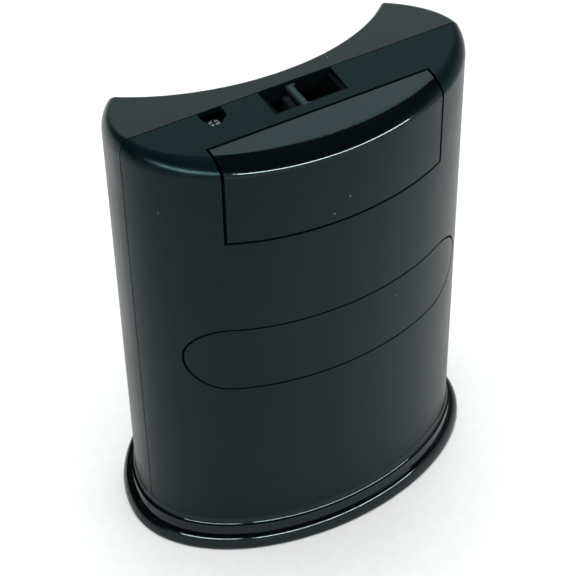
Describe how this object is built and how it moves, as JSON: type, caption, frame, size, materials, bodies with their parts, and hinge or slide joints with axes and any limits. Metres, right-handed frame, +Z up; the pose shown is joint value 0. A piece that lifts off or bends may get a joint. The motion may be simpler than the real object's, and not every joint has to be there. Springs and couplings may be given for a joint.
{
  "type": "electric can opener",
  "caption": "Upright electric can opener with a concave front, lever-mounted cutter, knife sharpener and lift-out caddy on a gloss base.",
  "frame": {"origin": "middle of the base's footprint, on the surface it stands on", "axes": "+Z up, the concave can bay faces -Y, the convex rear faces +Y, +X is the lever's pivot side"},
  "size_m": [0.172, 0.1212, 0.2281],
  "materials": {
    "case_matte": "fine matte texture, near-black with a slight green cast",
    "trim_gloss": "polished gloss black",
    "inner_black": "moulded black nylon",
    "rubber_black": "matte",
    "steel_bright": "bright nickel plate",
    "steel_plain": "brushed",
    "zinc_steel": "dull zinc plate",
    "brass": "plain",
    "bronze": "sintered",
    "gear_nylon": "natural nylon",
    "stone_grit": "coarse abrasive",
    "magnet_ferrite": "ground ferrite",
    "board_green": "solder mask",
    "component": "moulded epoxy"
  },
  "bodies": {
    "root": {"front_housing": "case_matte", "rear_housing": "case_matte", "rear_inlay": "case_matte", "front_base_ring": "trim_gloss", "rear_base_ring": "trim_gloss", "base_plate": "inner_black", "rubber_feet": "rubber_black", "base_screws": "zinc_steel", "cord_gland": "rubber_black", "housing_screws": "zinc_steel", "pocket_screw": "steel_bright", "sharpener_guide": "inner_black", "motor_can": "zinc_steel", "motor_end_cap": "inner_black", "motor_terminals": "brass", "motor_screws": "zinc_steel", "shaft_bearing": "bronze", "chassis_front": "inner_black", "chassis_rear": "zinc_steel", "chassis_screws": "zinc_steel", "reduction_axle": "steel_plain", "feed_bush": "bronze", "wear_plate": "steel_bright", "rim_guides": "steel_bright", "lever_pivot": "steel_bright", "switch_body": "inner_black", "rectifier_board": "board_green", "board_components": "component", "board_screws": "zinc_steel"},
    "rotor": {"motor_shaft": "steel_plain", "worm": "brass", "sharpening_stone": "stone_grit", "stone_collars": "zinc_steel"},
    "reduction": {"reduction_gear": "gear_nylon"},
    "feed": {"final_gear": "gear_nylon", "feed_shaft": "steel_plain", "feed_wheel": "steel_bright", "feed_clip": "steel_plain"},
    "lever": {"lever_handle": "trim_gloss", "lever_plate": "steel_plain", "cutter_screw": "steel_bright", "magnet_pin": "steel_plain"},
    "cutter": {"cutter_wheel": "steel_bright"},
    "magnet_swinger": {"magnet_arm": "inner_black", "magnet": "magnet_ferrite"},
    "switch_button": {"switch_plunger": "trim_gloss"},
    "caddy": {"caddy_tray": "case_matte", "caddy_cap": "trim_gloss"}
  },
  "joints": [
    {"name": "motor_spin", "type": "hinge", "parent": "root", "child": "rotor", "pos_m": [0, 0.01635, 0.211], "axis": [1, 0, 0], "continuous": true},
    {"name": "reduction_spin", "type": "hinge", "parent": "root", "child": "reduction", "pos_m": [0.024, 0.01635, 0.193], "axis": [0, 1, 0], "continuous": true},
    {"name": "feed_spin", "type": "hinge", "parent": "root", "child": "feed", "pos_m": [0, 0.00685, 0.15976], "axis": [0, 1, 0], "continuous": true},
    {"name": "lever_lift", "type": "hinge", "parent": "root", "child": "lever", "pos_m": [0.026, -0.00815, 0.18626], "axis": [0, 1, 0], "range_deg": [0, 55]},
    {"name": "cutter_spin", "type": "hinge", "parent": "lever", "child": "cutter", "pos_m": [0, -0.00565, 0.17626], "axis": [0, 1, 0], "continuous": true},
    {"name": "magnet_swing", "type": "hinge", "parent": "lever", "child": "magnet_swinger", "pos_m": [0, -0.02015, 0.18226], "axis": [-1, 0, 0], "range_deg": [0, 60]},
    {"name": "switch_press", "type": "slide", "parent": "root", "child": "switch_button", "axis": [0, 1, 0], "range_m": [0, 0.0015], "stiffness_N_per_m": 250, "springref_m": -0.002},
    {"name": "caddy_lift", "type": "slide", "parent": "root", "child": "caddy", "axis": [0, 0, 1], "range_m": [0, 0.05]}
  ],
  "couplings": [
    {"joint": "reduction_spin", "follows": "motor_spin", "ratio": -0.035714},
    {"joint": "feed_spin", "follows": "motor_spin", "ratio": 0.0049603}
  ]
}
